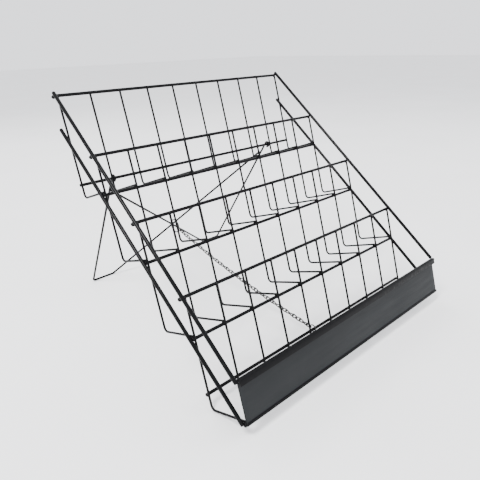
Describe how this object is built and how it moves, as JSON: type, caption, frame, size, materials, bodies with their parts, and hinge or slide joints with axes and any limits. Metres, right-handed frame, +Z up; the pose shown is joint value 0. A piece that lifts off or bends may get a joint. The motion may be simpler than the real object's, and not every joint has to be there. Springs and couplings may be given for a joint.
{
  "type": "folding wire book display stand",
  "caption": "Leaning black wire rack with stepped book pockets and a label strip, held up by a folding crossed wire leg and a chain.",
  "frame": {"origin": "middle of the stand's footprint, on the surface it stands on", "axes": "+Z up, +Y towards the back of the stand, +X to the right for a reader in front of it"},
  "size_m": [0.464, 0.5162, 0.3738],
  "materials": {
    "wire_coat": "glossy black dip coating with slight flow marks",
    "rod_coat": "glossy black dip coating with slight flow marks",
    "rail_coat": "glossy black dip coating with slight flow marks",
    "channel_coat": "satin black paint on folded sheet",
    "label_panel": "satin dark grey with a fine grain",
    "leg_coat": "glossy black dip coating, worn bright under the chain loop",
    "chain_zinc": "zinc plated light chain, slightly dulled"
  },
  "bodies": {
    "rack": {"tier_1_wire_1": "wire_coat", "tier_1_wire_2": "wire_coat", "tier_1_wire_3": "wire_coat", "tier_1_wire_4": "wire_coat", "tier_1_wire_5": "wire_coat", "tier_1_wire_6": "wire_coat", "tier_1_wire_7": "wire_coat", "tier_1_wire_8": "wire_coat", "tier_1_wire_9": "wire_coat", "tier_1_wire_10": "wire_coat", "tier_2_wire_1": "wire_coat", "tier_2_wire_2": "wire_coat", "tier_2_wire_3": "wire_coat", "tier_2_wire_4": "wire_coat", "tier_2_wire_5": "wire_coat", "tier_2_wire_6": "wire_coat", "tier_2_wire_7": "wire_coat", "tier_2_wire_8": "wire_coat", "tier_2_wire_9": "wire_coat", "tier_2_wire_10": "wire_coat", "tier_3_wire_1": "wire_coat", "tier_3_wire_2": "wire_coat", "tier_3_wire_3": "wire_coat", "tier_3_wire_4": "wire_coat", "tier_3_wire_5": "wire_coat", "tier_3_wire_6": "wire_coat", "tier_3_wire_7": "wire_coat", "tier_3_wire_8": "wire_coat", "tier_3_wire_9": "wire_coat", "tier_3_wire_10": "wire_coat", "tier_4_wire_1": "wire_coat", "tier_4_wire_2": "wire_coat", "tier_4_wire_3": "wire_coat", "tier_4_wire_4": "wire_coat", "tier_4_wire_5": "wire_coat", "tier_4_wire_6": "wire_coat", "tier_4_wire_7": "wire_coat", "tier_4_wire_8": "wire_coat", "tier_4_wire_9": "wire_coat", "tier_4_wire_10": "wire_coat", "top_rail": "rod_coat", "lip_rail_1": "rod_coat", "lip_rail_2": "rod_coat", "lip_rail_3": "rod_coat", "floor_rod_1": "rod_coat", "floor_rod_2": "rod_coat", "floor_rod_3": "rod_coat", "floor_rod_4": "rod_coat", "back_rod_upper": "rod_coat", "back_rod_lower": "rod_coat", "side_rail_upper_left": "rail_coat", "side_rail_upper_right": "rail_coat", "side_rail_lower_left": "rail_coat", "side_rail_lower_right": "rail_coat", "label_rod": "rod_coat", "label_channel": "channel_coat", "label_panel": "label_panel"},
    "leg": {"leg_frame_left": "leg_coat", "leg_frame_right": "leg_coat", "chain": "chain_zinc"}
  },
  "joints": [
    {"name": "leg_fold", "type": "hinge", "parent": "rack", "child": "leg", "pos_m": [0, 0.09565, 0.24025], "axis": [-1, 0, 0], "range_deg": [0, 78], "deforming": ["chain"]}
  ]
}
